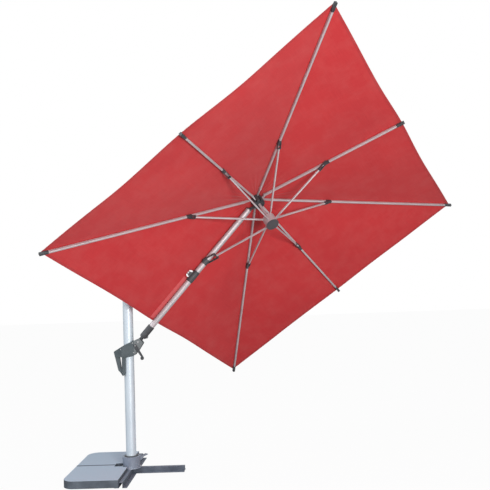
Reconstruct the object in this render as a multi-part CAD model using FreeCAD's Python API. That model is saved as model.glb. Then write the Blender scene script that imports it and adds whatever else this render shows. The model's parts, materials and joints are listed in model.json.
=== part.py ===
import FreeCAD, Part
import math
import os

# Cantilever patio umbrella on a weighted cross base. Millimetres, +Z up.
# The origin is on the floor, on the mast's axis. +X points from the mast to the canopy.

V = FreeCAD.Vector
X = V(1, 0, 0)
Y = V(0, 1, 0)
Z = V(0, 0, 1)

# ---------------------------------------------------------------- clearances
RUN = 0.05            # radial play of a hinge pin in its bore
SLIP = 0.3            # gap between faces that slide or turn past each other
SEAT = 0.02           # play of a piece that is fixed in its seat
SIDE = 0.5            # play of a tongue between its ears
LONG_SEAT = 0.12      # play of a long round tube that is fixed in its sleeve

# ---------------------------------------------------------------- base
arm_reach = 512.0     # mast axis to the end of each base arm
bar_top_w = 38.0      # width of the raised part of a base bar
bar_h = 48.0
bar_wall = 3.0
bar_flange_w = 38.0   # width of each foot flange
anchor_reach = 450.0  # mast axis to the anchor holes
anchor_r = 5.5
slab_size = 510.0
slab_top = 72.0
slab_wall = 4.0
slab_corner_r = 110.0
slab_gap = 3.0        # joint between the two slabs
notch_x = 155.0       # how far the slabs are notched along the covered arm
notch_y = 55.0
socket_h = 106.0
socket_r_low = 80.0
socket_r_top = 86.0
socket_flange_r = 96.0
socket_flange_t = 6.0
socket_wall = 5.0
bolt_r = 4.0
bolt_head_r = 7.4
bolt_head_h = 5.3
bolt_circle_r = 88.0
pedal_side = 38.0     # direction of the pedal round the mast, degrees from +X
pedal_pin_r = 4.0
pedal_w = 24.0

# ---------------------------------------------------------------- mast
mast_r = 48.0
mast_wall = 2.5
mast_top = 2590.0
bush_t = 8.7          # wall of the mast's foot bush
bush_floor = 7.4
track_w = 14.0
track_depth = 5.0
rack_pitch = 60.0
rack_low = 620.0
rack_high = 2380.0
head_wall = 6.0
head_len = 104.0      # length of the head casting, down from the mast's top

# ---------------------------------------------------------------- tilt linkage
pivot_x = 100.0       # both the boom's foot pivot and the arm's top pivot stand this far out
boom_foot_z = 1240.0
boom_rise = 48.2      # elevation of the boom, degrees
boom_len = 1794.0     # foot pivot to the hub's plane
bracket_at = 821.0    # foot pivot to the bracket, along the boom
bracket_drop = 60.0   # boom axis to the bracket's pin
bracket_len = 100.0
bracket_wall = 4.7
arm_w = 22.0
arm_h = 42.0
arm_wall = 2.0
arm_pin_r = 6.0
arm_tongue = 26.0     # width of the support arm's end fittings
ear_t = 7.0

# ---------------------------------------------------------------- boom
boom_r = 28.0
boom_wall = 2.2
boom_start = 80.0
boom_end = 1668.0
roll = -39.45         # how far the canopy is turned about the boom, degrees
sleeve_r = 34.0
sleeve_start = 64.0
sleeve_end = 192.0
spindle_r = 20.0
spindle_end = 150.0
neck_r = 18.0
neck_w = 40.0
foot_pin_r = 7.0
foot_pin_half = 46.0
foot_pin_head = 9.5

# ---------------------------------------------------------------- housing
housing_half = 60.0
housing_wall = 5.0
mast_play = 1.0
guide_wall = 8.0
glide_t = 3.7
glide_h = 18.0
crank_x = 76.0
crank_z = 1207.0
crank_reach_x = 72.0
crank_reach_z = -117.0
crank_shaft_r = 6.0
drum_r = 13.0
knob_axle_r = 4.0
trigger_travel = 5.0

# ---------------------------------------------------------------- canopy frame
half_span = 1500.0    # half of the square canopy's side
canopy_drop = 420.0   # hub plane to the rib tips
boom_above = 11.0     # how much of the boom's radius stands over the hub plane, at the hub
hinge_r = 50.0        # hub axis to the rib and strut hinges
strut_out = 750.0     # hub axis to the rib-to-strut hinges
hinge_under = 55.0    # a middle rib's hub hinge, below the rib's own line through the hub plane
mid_over = 8.0        # strut hinge above a middle rib's axis
corner_under = 10.4   # strut hinge below a corner rib's axis
rib_w = 19.0
rib_h = 27.0
rib_wall = 1.6
strut_w = 14.0
strut_h = 20.0
strut_wall = 1.4
strut_tongue = {"corner": 84.0, "mid": 84.0, "boom": 102.0}   # hub hinge to a strut's tube
strut_fork = {"corner": 58.0, "mid": 104.0, "boom": 130.0}   # reach of a strut's fork plates
hub_pin_r = 3.0
tongue_t = 10.0
strut_tongue_t = 8.0
hub_r = 58.0
hub_low = -86.0
hub_high = 14.0
cap_boss_r = 10.0
lower_hub_r = 63.0
lower_hub_over = 15.9     # top of the lower hub, above its highest hinges
lower_hub_under = 13.0    # its underside, below its lowest hinge
lower_cap_t = 4.0
centre_r = 13.5
centre_wall = 2.0
clamp_wall = 2.4
clamp_len = 58.0
knuckle_reach = {"mid": 46.0, "corner": 104.0}   # hub hinge to the rib's tube
tip_over = 14.0       # how far a rib's tip cap stands past the cloth's edge
cloth_clear = 4.1     # top of a rib to the underside of the cloth
cloth_t = 2.0
slit_half = 72.0      # half width of the cloth's opening for the support arm
slit_inner = 850.0    # hub axis to the inner end of that opening

# sizes that follow from the ones above
head_low = mast_top - head_len
boom_below = boom_r - boom_above                    # boom axis below the hub plane, at the hub
strut_fall = strut_out * canopy_drop / half_span - hinge_under   # height between a rib's two hinges
cloth_over = rib_h / 2 + cloth_clear                # rib axis to the underside of the cloth

os.makedirs("parts", exist_ok=True)


# ---------------------------------------------------------------- helpers
def box(x0, x1, y0, y1, z0, z1):
    return Part.makeBox(x1 - x0, y1 - y0, z1 - z0, V(x0, y0, z0))


def rod(radius, start, end):
    """A round bar between two points."""
    path = end - start
    return Part.makeCylinder(radius, path.Length, start, path)


def ring(outer, inner, start, end):
    """A round tube between two points."""
    return rod(outer, start, end).cut(rod(inner, start, end))


def prism(points, y0, y1):
    """A plate whose outline lies in the x-z plane, between two y values."""
    corners = [V(x, y0, z) for x, z in points]
    face = Part.Face(Part.makePolygon(corners + corners[:1]))
    return face.extrude(V(0, y1 - y0, 0))


def plan(points, z0, z1):
    """A plate whose outline lies in the x-y plane, between two z values."""
    corners = [V(x, y, z0) for x, y in points]
    face = Part.Face(Part.makePolygon(corners + corners[:1]))
    return face.extrude(V(0, 0, z1 - z0))


def across(at, radius, half):
    """A rod along y through the point at = (x, z), half its length on each side."""
    return rod(radius, V(at[0], -half, at[1]), V(at[0], half, at[1]))


def link(p1, r1, p2, r2, y0, y1):
    """A plate with round ends about two points (x, z), between two y values."""
    dx = p2[0] - p1[0]
    dz = p2[1] - p1[1]
    gap = math.hypot(dx, dz)
    heading = math.atan2(dz, dx)
    lean = math.acos((r1 - r2) / gap)
    outline = []
    for point, radius, side in ((p1, r1, 1), (p1, r1, -1), (p2, r2, -1), (p2, r2, 1)):
        angle = heading + side * lean
        outline.append((point[0] + radius * math.cos(angle), point[1] + radius * math.sin(angle)))
    plate = prism(outline, y0, y1)
    for point, radius in ((p1, r1), (p2, r2)):
        plate = plate.fuse(rod(radius, V(point[0], y0, point[1]), V(point[0], y1, point[1])))
    return plate.removeSplitter()


def soft_bar(width, height, x0, x1, corner):
    """A bar along x, centred on it, with its four long edges rounded."""
    bar = box(x0, x1, -width / 2, width / 2, -height / 2, height / 2)
    long_edges = [e for e in bar.Edges if abs(e.tangentAt(0).x) > 0.99]
    return bar.makeFillet(corner, long_edges)


def soft_tube(width, height, wall, x0, x1, corner):
    inner = soft_bar(width - 2 * wall, height - 2 * wall, x0 - 1, x1 + 1, corner - wall / 2)
    return soft_bar(width, height, x0, x1, corner).cut(inner)


def placed(shape, placement):
    copy = shape.copy()
    copy.Placement = placement.multiply(copy.Placement)
    return copy


def turned(axis, degrees, point=None):
    """A placement that turns about an axis through a point."""
    centre = point or V(0, 0, 0)
    spin = FreeCAD.Rotation(axis, degrees)
    return FreeCAD.Placement(centre - spin.multVec(centre), spin)


def solids(shape):
    found = shape.Solids
    if len(found) != 1:
        raise ValueError("one solid wanted, got %d" % len(found))
    return found


def save(name, shapes, placement=None):
    """Write one node; each entry of shapes is one solid of it."""
    group = shapes if isinstance(shapes, list) else [shapes]
    pieces = [s for shape in group for s in solids(shape)]
    if placement:
        pieces = [placed(p, placement) for p in pieces]
    whole = pieces[0] if len(pieces) == 1 else Part.makeCompound(pieces)
    whole.exportStep("parts/%s.step" % name)


# ---------------------------------------------------------------- frames
slope = math.degrees(math.atan2(canopy_drop, half_span))
carrier_frame = FreeCAD.Placement(V(pivot_x, 0, boom_foot_z), FreeCAD.Rotation(Y, -boom_rise))
boom_frame = carrier_frame.multiply(FreeCAD.Placement(V(0, 0, 0), FreeCAD.Rotation(X, roll)))
boom_lift = boom_below * math.cos(math.radians(slope))
canopy_frame = boom_frame.multiply(
    FreeCAD.Placement(V(boom_len, 0, boom_lift), FreeCAD.Rotation(Y, slope)))
bracket_pin = carrier_frame.multVec(V(bracket_at, 0, bracket_drop))
arm_pin_z = 2 * bracket_pin.z - boom_foot_z
arm_rise = math.degrees(math.atan2(bracket_pin.z - boom_foot_z, bracket_pin.x - pivot_x))
arm_len = math.hypot(bracket_pin.z - boom_foot_z, bracket_pin.x - pivot_x)


# ---------------------------------------------------------------- cross base
half_top = bar_top_w / 2
half_foot = half_top + bar_flange_w


def hat_bar(x0, x1):
    """A base bar along x: a raised channel, open below, on two foot flanges."""
    outline = [(half_foot, 0), (half_foot, bar_wall), (half_top, bar_wall), (half_top, bar_h)]
    mirrored = [(-y, z) for y, z in reversed(outline)]
    inside = half_top - bar_wall
    channel = [(-inside, 0), (-inside, bar_h - bar_wall), (inside, bar_h - bar_wall), (inside, 0)]
    corners = [V(x0, y, z) for y, z in outline + mirrored + channel]
    face = Part.Face(Part.makePolygon(corners + corners[:1]))
    return face.extrude(V(x1 - x0, 0, 0))


def bolt_hole(radius, x, y, z0, z1):
    return rod(radius, V(x, y, z0), V(x, y, z1))


anchor_side = half_top + bar_flange_w / 2
bolt_spots = [(bolt_circle_r, 0), (0, bolt_circle_r), (-bolt_circle_r, 0), (0, -bolt_circle_r)]

long_bar = hat_bar(-arm_reach, arm_reach)
for end in (-1, 1):
    for side in (-1, 1):
        long_bar = long_bar.cut(bolt_hole(anchor_r, end * anchor_reach, side * anchor_side, -1, bar_wall + 1))
for spot in bolt_spots[0], bolt_spots[2]:
    long_bar = long_bar.cut(bolt_hole(bolt_r + SLIP, spot[0], spot[1], bar_h - bar_wall - 1, bar_h + 1))
save("cross_bar_long", long_bar)

# the two short arms butt against the long bar: their flanges stop at its flange,
# and their raised part runs on over it
short_bar = hat_bar(half_foot + SLIP, arm_reach)
root = hat_bar(half_top + SLIP, half_foot + SLIP)
root = root.common(box(0, arm_reach, -half_top, half_top, bar_wall + SLIP, bar_h))
short_bar = short_bar.fuse(root).removeSplitter()
for side in (-1, 1):
    short_bar = short_bar.cut(bolt_hole(anchor_r, anchor_reach, side * anchor_side, -1, bar_wall + 1))
short_bar = short_bar.cut(bolt_hole(bolt_r + SLIP, bolt_circle_r, 0, bar_h - bar_wall - 1, bar_h + 1))
save("cross_bar_front", short_bar, turned(Z, -90))
save("cross_bar_back", short_bar, turned(Z, 90))


# ---------------------------------------------------------------- mast socket and pedal
socket_z = bar_h
socket_top = socket_z + socket_h
bush_r = mast_r + SEAT + bush_t
bore_r = bush_r + SLIP
flange_top = socket_z + socket_flange_t


def cone_between(r1, r2, z0, z1):
    return Part.makeCone(r1, r2, z1 - z0, V(0, 0, z0))


socket = cone_between(socket_flange_r, socket_flange_r - 2, socket_z, flange_top)
socket = socket.fuse(cone_between(socket_r_low, socket_r_top, flange_top, socket_top))
socket = socket.cut(rod(bore_r, V(0, 0, socket_z - 1), V(0, 0, socket_top + 1)))
hollow = cone_between(socket_r_low - socket_wall, socket_r_top - socket_wall, flange_top, socket_top - 8)
hollow = hollow.cut(rod(bore_r + socket_wall, V(0, 0, 0), V(0, 0, socket_top)))
socket = socket.cut(hollow)
for spot in bolt_spots:
    socket = socket.cut(bolt_hole(bolt_r + SLIP, spot[0], spot[1], socket_z - 1, flange_top + 1))
pedal_pin = (socket_r_top + 18.0, socket_z + 70.0)
for side in (-1, 1):
    inner = side * (pedal_w / 2 + SIDE)
    outer = side * (pedal_w / 2 + SIDE + 6.0)
    low = (socket_r_low - 6.0, socket_z + 66.0)
    ear = link(low, 20.0, pedal_pin, 11.0, min(inner, outer), max(inner, outer))
    lug = link((socket_r_low, socket_z + 92.0), 12.0, low, 12.0, min(inner, outer), max(inner, outer))
    ear = ear.fuse(lug).cut(rod(socket_r_low - 8.0, V(0, 0, 0), V(0, 0, socket_top + 50)))
    ear = ear.cut(across(pedal_pin, pedal_pin_r + SEAT, 99))
    socket = socket.fuse(placed(ear, turned(Z, pedal_side)))
save("mast_socket", socket.removeSplitter())

pedal = link(pedal_pin, 9.0, (pedal_pin[0] + 34.0, pedal_pin[1] + 20.0), 5.0, -pedal_w / 2, pedal_w / 2)
tread_start = (pedal_pin[0] + 32.0, pedal_pin[1] + 19.0)
tread_tip = (pedal_pin[0] + 62.0, pedal_pin[1] + 24.0)
tread = link(tread_start, 4.5, tread_tip, 3.5, -20.0, 20.0)
pedal = pedal.fuse(tread).removeSplitter()
pedal = pedal.cut(across(pedal_pin, pedal_pin_r + RUN, 99))
save("foot_pedal", pedal, turned(Z, pedal_side))
pin_half = pedal_w / 2 + SIDE + 8.0
save("pedal_pin", across(pedal_pin, pedal_pin_r, pin_half), turned(Z, pedal_side))


def hex_bolt(x, y, top):
    """A hexagon bolt whose head stands on a face at height top."""
    corners = []
    for i in range(6):
        angle = math.radians(60 * i + 30)
        corners.append((x + bolt_head_r * math.cos(angle), y + bolt_head_r * math.sin(angle)))
    head = plan(corners, top, top + bolt_head_h)
    return head.fuse(bolt_hole(bolt_r, x, y, top - 18.0, top)).removeSplitter()


save("cross_bolts", [hex_bolt(x, y, flange_top) for x, y in bolt_spots])


# ---------------------------------------------------------------- slabs
def slab(inset):
    """The front slab, or the room inside it when inset by its wall."""
    reach = half_top + slab_gap
    x0 = -reach - slab_size + inset
    x1 = -reach - inset
    y0 = -slab_gap / 2 - slab_size + inset
    y1 = -slab_gap / 2 - inset
    body = box(x0, x1, y0, y1, bar_wall + inset, slab_top - inset)
    corner = [e for e in body.Edges if abs(e.tangentAt(0).z) > 0.99
              and e.CenterOfMass.x < x0 + 1 and e.CenterOfMass.y < y0 + 1]
    body = body.makeFillet(slab_corner_r - inset, corner)
    near = half_top + slab_gap + inset
    body = body.cut(box(-999, 999, -near, 99, 0, bar_h + slab_gap + inset))
    body = body.cut(box(-notch_x - inset, 999, -notch_y - inset, 99, -1, slab_top + 1))
    clear = socket_flange_r + slab_gap + inset
    return body.cut(rod(clear, V(0, 0, -1), V(0, 0, slab_top + 1)))


foot_r = 24.0
outer_at = half_top + slab_gap + slab_size - 90.0
feet = []
for foot_x, foot_y in ((-outer_at, -outer_at), (-outer_at, -120.0), (-120.0, -outer_at)):
    feet.append(rod(foot_r, V(foot_x, foot_y, 0), V(foot_x, foot_y, bar_wall)))
shell = slab(0)
rim = [e for e in shell.Edges if abs(e.CenterOfMass.z - slab_top) < 0.01]
shell = shell.makeFillet(4.0, rim)
shell = shell.cut(slab(slab_wall))
for foot in feet:
    shell = shell.fuse(foot)
filling = slab(slab_wall + SEAT)
flip = FreeCAD.Matrix()
flip.scale(1, -1, 1)
save("slab_front", shell.removeSplitter())
save("slab_back", shell.removeSplitter().transformGeometry(flip))
save("slab_fill_front", filling)
save("slab_fill_back", filling.transformGeometry(flip))


# ---------------------------------------------------------------- mast
bush_low = socket_z + SLIP
mast_low = bush_low + bush_floor
mast = ring(mast_r, mast_r - mast_wall, V(0, 0, mast_low), V(0, 0, mast_top))
track_bottom = mast_r - track_depth
backing = box(track_bottom - mast_wall, mast_r - 1, -track_w / 2 - mast_wall, track_w / 2 + mast_wall,
              mast_low, mast_top)
mast = mast.fuse(backing)
mast = mast.cut(box(track_bottom, mast_r + 1, -track_w / 2, track_w / 2, mast_low - 1, mast_top + 1))
save("mast_tube", mast.removeSplitter())

rack = box(track_bottom + SEAT, mast_r - 0.8, -track_w / 2 + SEAT, track_w / 2 - SEAT, rack_low, rack_high)
notch_z = rack_low + rack_pitch
while notch_z < rack_high - rack_pitch / 2:
    rack = rack.cut(box(track_bottom + 1.6, mast_r, -track_w / 4, track_w / 4, notch_z - 9, notch_z + 9))
    notch_z += rack_pitch
save("latch_strip", rack)

bush = ring(bush_r, mast_r + SEAT, V(0, 0, bush_low), V(0, 0, socket_top + SLIP))
bush = bush.fuse(rod(bush_r, V(0, 0, bush_low), V(0, 0, mast_low)))
collar = ring(bush_r + 8, mast_r + SEAT, V(0, 0, socket_top + SLIP), V(0, 0, socket_top + 7))
bush = bush.fuse(collar)
save("mast_foot_bush", bush.removeSplitter())

cap_rim = rod(mast_r + 2, V(0, 0, mast_top), V(0, 0, mast_top + 6))
cap_dome = cone_between(mast_r + 2, mast_r - 10, mast_top + 6, mast_top + 15)
plug_r = mast_r - mast_wall - 8
cap_plug = ring(plug_r, plug_r - 3, V(0, 0, mast_top - 30), V(0, 0, mast_top + 1))
save("mast_top_cap", cap_rim.fuse(cap_dome).fuse(cap_plug).removeSplitter())

head = rod(mast_r + head_wall, V(0, 0, head_low), V(0, 0, mast_top - 4))
ear_in = arm_tongue / 2 + SIDE
ear_out = ear_in + ear_t
for y0, y1 in ((-ear_out, -ear_in), (ear_in, ear_out)):
    head = head.fuse(link((mast_r - 10, arm_pin_z - 14), 30.0, (pivot_x, arm_pin_z), 15.0, y0, y1))
head = head.cut(rod(mast_r + SEAT, V(0, 0, head_low - 1), V(0, 0, mast_top + 1)))
head = head.cut(rod(arm_pin_r + RUN, V(pivot_x, -99, arm_pin_z), V(pivot_x, 99, arm_pin_z)))
save("mast_head", head.removeSplitter())


# ---------------------------------------------------------------- support arm
# built along +x from its top pivot, then turned down to the bracket
arm_frame = FreeCAD.Placement(V(pivot_x, 0, arm_pin_z), FreeCAD.Rotation(Y, arm_rise))
tube_start = 46.0
arm_tube = soft_tube(arm_w, arm_h, arm_wall, tube_start, arm_len - tube_start, 7.0)
save("support_arm_tube", arm_tube, arm_frame)
plug_w = arm_w - 2 * arm_wall - 2 * SEAT
plug_h = arm_h - 2 * arm_wall - 2 * SEAT
ends = []
for pin_at, inward in ((0.0, 1), (arm_len, -1)):
    neck_at = pin_at + inward * (tube_start - 14)
    fitting = link((pin_at, 0), 14.0, (neck_at, 0), 14.0, -arm_tongue / 2, arm_tongue / 2)
    plug = soft_bar(plug_w, plug_h, 0, 36.0, 7.0 - arm_wall / 2)
    if inward < 0:
        plug = placed(plug, turned(Z, 180))
    fitting = fitting.fuse(placed(plug, FreeCAD.Placement(V(neck_at, 0, 0), FreeCAD.Rotation())))
    fitting = fitting.cut(rod(arm_pin_r + SEAT, V(pin_at, -99, 0), V(pin_at, 99, 0)))
    ends.append(fitting.removeSplitter())
save("support_arm_ends", ends, arm_frame)


def headed_pin(x, z, radius, half, head):
    """A pin along y with a head at each end."""
    pin = rod(radius, V(x, -half, z), V(x, half, z))
    for side in (-1, 1):
        pin = pin.fuse(rod(head, V(x, side * half, z), V(x, side * (half + 3.0), z)))
    return pin.removeSplitter()


pin_half = ear_out + SLIP
save("support_arm_pins", [headed_pin(0, 0, arm_pin_r, pin_half, 9.0),
                          headed_pin(arm_len, 0, arm_pin_r, pin_half, 9.0)], arm_frame)


# ---------------------------------------------------------------- boom carrier
bracket_low = V(bracket_at - bracket_len / 2, 0, 0)
bracket_high = V(bracket_at + bracket_len / 2, 0, 0)
bracket = rod(boom_r + SLIP + bracket_wall, bracket_low, bracket_high)
for y0, y1 in ((-ear_out, -ear_in), (ear_in, ear_out)):
    bracket = bracket.fuse(link((bracket_at, 16.0), 30.0, (bracket_at, bracket_drop), 14.0, y0, y1))
bracket = bracket.cut(rod(boom_r + SLIP, V(bracket_at - 99, 0, 0), V(bracket_at + 99, 0, 0)))
bracket = bracket.cut(rod(arm_pin_r + RUN, V(bracket_at, -99, bracket_drop), V(bracket_at, 99, bracket_drop)))
save("boom_bracket", bracket.removeSplitter(), carrier_frame)

neck = link((0, 0), neck_r, (26.0, 0), neck_r - 1, -neck_w / 2, neck_w / 2)
neck = neck.fuse(rod(neck_r, V(20, 0, 0), V(56, 0, 0)))
neck = neck.fuse(rod(sleeve_r - 3, V(sleeve_start - 8, 0, 0), V(sleeve_start - SLIP, 0, 0)))
neck = neck.fuse(rod(spindle_r, V(sleeve_start - 2, 0, 0), V(spindle_end, 0, 0)))
neck = neck.cut(rod(foot_pin_r + RUN, V(0, -99, 0), V(0, 99, 0)))
save("swivel_neck", neck.removeSplitter(), carrier_frame)


# ---------------------------------------------------------------- boom
boom_bore = boom_r - boom_wall
save("boom_tube", ring(boom_r, boom_bore, V(boom_start, 0, 0), V(boom_end, 0, 0)), boom_frame)
collars = []
for start in (bracket_at - bracket_len / 2 - SLIP - 12, bracket_at + bracket_len / 2 + SLIP):
    collars.append(ring(boom_r + 4.2, boom_r + SEAT, V(start, 0, 0), V(start + 12, 0, 0)))
save("boom_collars", collars, boom_frame)

sleeve = rod(sleeve_r, V(sleeve_start, 0, 0), V(sleeve_end, 0, 0))
end_edges = [e for e in sleeve.Edges if e.Curve.TypeId == "Part::GeomCircle"]
sleeve = sleeve.makeFillet(2.5, end_edges)
sleeve = sleeve.cut(rod(spindle_r + SLIP, V(0, 0, 0), V(boom_start, 0, 0)))

# the lock knob's plunger stands across the sleeve, square to the boom
knob_turn = -120.0 - roll
knob_place = FreeCAD.Placement(V(sleeve_start + 12, 0, 0), FreeCAD.Rotation(X, knob_turn))
knob_frame = boom_frame.multiply(knob_place)
sleeve_local = turned(X, -knob_turn)
boss = rod(11.0, V(sleeve_start + 12, 0, spindle_r + 4), V(sleeve_start + 12, 0, sleeve_r + 5))
plunger_hole = rod(4.0 + SLIP, V(sleeve_start + 12, 0, 0), V(sleeve_start + 12, 0, sleeve_r + 9))
sleeve = placed(sleeve, sleeve_local).fuse(boss).cut(plunger_hole)
sleeve = placed(sleeve, turned(X, knob_turn))
sleeve = sleeve.cut(rod(boom_r + LONG_SEAT, V(boom_start - SEAT, 0, 0), V(sleeve_end + 1, 0, 0)))
save("swivel_sleeve", sleeve, boom_frame)

bush_ring = ring(boom_bore - SEAT, spindle_r + SLIP, V(boom_start + 14, 0, 0), V(spindle_end, 0, 0))
save("swivel_bush", bush_ring, boom_frame)

plunger = rod(4.0, V(0, 0, spindle_r + 1.0), V(0, 0, sleeve_r + 8))
knob = Part.makeCone(11.0, 16.0, 7.0, V(0, 0, sleeve_r + 7), Z)
knob = knob.fuse(Part.makeCylinder(16.0, 8.0, V(0, 0, sleeve_r + 14), Z))
for i in range(8):
    groove = Part.makeCylinder(2.6, 20.0, V(17.2, 0, sleeve_r + 5), Z)
    knob = knob.cut(placed(groove, turned(Z, 45 * i)))
save("lock_knob", knob.fuse(plunger).removeSplitter(), knob_frame)


# ---------------------------------------------------------------- housing
# side outline as x and height above the boom's foot pivot, clockwise from the grip's heel
outline = [(-143, -88), (-38, -28), (111, 36), (148, -14), (101, -83), (61, -128), (31, -138),
           (-22, -146), (-26, -297), (-51, -324), (-103, -268)]
corner_rs = [10, 30, 14, 10, 26, 20, 12, 6, 8, 12, 12]
finger_gap = [(-88, -139), (-62, -139), (-62, -250), (-76, -250)]
body_low = -141.0     # height where the body ends and the grip starts


def raised(points):
    return [(x, boom_foot_z + z) for x, z in points]


def mirrored_plan(points):
    return points + [(x, -y) for x, y in reversed(points)]


block = prism(raised(outline), -housing_half, housing_half)
for (x, z), radius in zip(raised(outline), corner_rs):
    near = [e for e in block.Edges if abs(e.tangentAt(0).y) > 0.99
            and math.hypot(e.CenterOfMass.x - x, e.CenterOfMass.z - z) < 2.0]
    block = block.makeFillet(radius, near)
upper_plan = mirrored_plan([(-150, 21), (-106, 27), (-58, housing_half), (62, housing_half),
                            (112, 44), (152, 33)])
lower_plan = mirrored_plan([(-150, 17), (-84, 19), (-70, 30), (-52, 52), (0, 52)])
split_z = boom_foot_z + body_low
block = block.common(plan(upper_plan, split_z, 1400).fuse(plan(lower_plan, 800, split_z)))
gap_cut = prism(raised(finger_gap), -99, 99)
upright = [e for e in gap_cut.Edges if abs(e.tangentAt(0).y) > 0.99]
gap_cut = gap_cut.makeFillet(5.0, upright)

# the room inside: the drum and the boom's foot to the right of the mast, the latch to its left
mast_bore = mast_r + mast_play
guide_r = mast_bore + guide_wall
room_half = housing_half - housing_wall
right_room = prism(raised([(56, -6), (106, 26), (138, -14), (96, -75), (58, -116)]), -room_half, room_half)
left_room = prism(raised([(-128, -86), (-58, -46), (-58, -128), (-96, -128)]), -16, 16)
room_plan = mirrored_plan([(-130, 14), (-56, 20), (-56, 22), (56, room_half),
                           (112, 44 - housing_wall), (152, 27)])
room = right_room.fuse(left_room).common(plan(room_plan, 900, 1400))
room = room.cut(rod(guide_r, V(0, 0, 900), V(0, 0, 1400)))

# bosses for the boom's foot pin and for the drum
tongue_half = neck_w / 2 + SIDE
foot = V(pivot_x, 0, boom_foot_z)
drum = V(crank_x, 0, crank_z)
for side in (-1, 1):
    room = room.cut(rod(13.0, foot + Y * side * tongue_half, foot + Y * side * 60))
    room = room.cut(rod(drum_r - 2, drum + Y * side * 40, drum + Y * side * 60))

# the mouth that the boom's foot swings in
reach = 90.0
swing_low = math.radians(boom_rise - 36.0)
swing_high = math.radians(boom_rise + 37.0)
half_mouth = neck_r + 1.5
mouth = [(foot.x + half_mouth * math.sin(swing_low), foot.z - half_mouth * math.cos(swing_low))]
for step in range(5):
    angle = swing_low + (swing_high - swing_low) * step / 4
    side = half_mouth * (step / 2 - 1)
    mouth.append((foot.x + reach * math.cos(angle) - side * math.sin(angle),
                  foot.z + reach * math.sin(angle) + side * math.cos(angle)))
mouth.append((foot.x - half_mouth * math.sin(swing_high), foot.z + half_mouth * math.cos(swing_high)))
mouth_cut = prism(mouth, -tongue_half, tongue_half)
mouth_cut = mouth_cut.fuse(rod(half_mouth, foot - Y * tongue_half, foot + Y * tongue_half))

# glides that run on the mast, in pockets of the guide
glide_out = mast_r + SLIP + glide_t
glide_z = (boom_foot_z - 128.0, boom_foot_z - 62.0)
block = block.cut(room).cut(gap_cut).cut(mouth_cut)
block = block.cut(rod(mast_bore, V(0, 0, 800), V(0, 0, 1400)))
for z in glide_z:
    block = block.cut(rod(glide_out + SEAT, V(0, 0, z - SEAT), V(0, 0, z + glide_h + SEAT)))
block = block.cut(rod(foot_pin_r + SEAT, foot - Y * 99, foot + Y * 99))
for side in (-1, 1):
    head_seat = foot + Y * side * (foot_pin_half - SEAT)
    block = block.cut(rod(foot_pin_head + SIDE, head_seat, foot + Y * side * 99))
block = block.cut(rod(crank_shaft_r + RUN, drum - Y * 99, drum + Y * (room_half - 2)))
block = block.cut(rod(drum_r + SIDE, drum - Y * 38, drum + Y * 38))
trigger_z = (boom_foot_z - 236.0, boom_foot_z - 156.0)
pocket = box(-62.1, -50.4, -11.0 - SLIP, 11.0 + SLIP, trigger_z[0] - SLIP, trigger_z[1] + SLIP)
block = block.cut(pocket)

screw_r = 2.6
screw_head_r = 5.0
screw_spots = [(49, -8, 56.5, 28), (57, -98, 56.5, 28), (-68, -68, 48.0, 26), (-58, -287, 30.0, 16)]
for x, z, face, _ in screw_spots:
    block = block.cut(rod(screw_r + SEAT, V(x, -99, boom_foot_z + z), V(x, 99, boom_foot_z + z)))
    for side in (-1, 1):
        seat = V(x, side * (face - 2.5), boom_foot_z + z)
        block = block.cut(rod(screw_head_r + 0.6, seat, V(x, side * 99, seat.z)))


def biggest(shape):
    return max(shape.Solids, key=lambda s: s.Volume)


save("housing_shell_front", biggest(block.common(box(-200, 200, -99, 0, 800, 1400))))
save("housing_shell_back", biggest(block.common(box(-200, 200, 0, 99, 800, 1400))))

screws = []
for x, z, face, length in screw_spots:
    for side in (-1, 1):
        at = V(x, side * (face - 2.5), boom_foot_z + z)
        screw = rod(screw_head_r, at, at + Y * side * 3.5)
        screw = screw.fuse(rod(screw_r, at - Y * side * length, at))
        driver = rod(2.0, at + Y * side * 1.6, at + Y * side * 9)
        screws.append(screw.cut(driver).removeSplitter())
save("housing_screws", screws)

glides = []
for z in glide_z:
    glides.append(ring(glide_out, mast_r + SLIP, V(0, 0, z), V(0, 0, z + glide_h)))
save("housing_glides", glides)

save("housing_pivot_pin", headed_pin(foot.x, foot.z, foot_pin_r, foot_pin_half, foot_pin_head))

trigger = box(-66.0, -62.0 + 6.2, -11.0, 11.0, trigger_z[0], trigger_z[1])
rounded = [e for e in trigger.Edges if e.CenterOfMass.x < -65.9]
save("latch_trigger", trigger.makeFillet(2.5, rounded))

# ---------------------------------------------------------------- crank
crank_front = -(housing_half + 3.0)
shaft = rod(crank_shaft_r, drum + Y * (crank_front - 12), drum + Y * (room_half - 4))
barrel = rod(drum_r, drum - Y * 36, drum + Y * 36).cut(rod(drum_r + 1, drum - Y * 32, drum + Y * 32))
core = rod(drum_r - 4, drum - Y * 36, drum + Y * 36)
save("crank_shaft", shaft.fuse(barrel).fuse(core).removeSplitter())

knob_at = (crank_x + crank_reach_x, crank_z + crank_reach_z)
arm_front = crank_front - 9.0
crank_arm = link((crank_x, crank_z), 14.0, knob_at, 9.0, arm_front, crank_front)
crank_arm = crank_arm.cut(rod(crank_shaft_r + SEAT, drum - Y * 99, drum))
axle = rod(knob_axle_r, V(knob_at[0], arm_front - 40, knob_at[1]), V(knob_at[0], arm_front + 1, knob_at[1]))
head_end = V(knob_at[0], arm_front - 42, knob_at[1])
axle = axle.fuse(rod(knob_axle_r + 3, head_end, head_end + Y * 3))
save("crank_arm", crank_arm.fuse(axle).removeSplitter())

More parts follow.
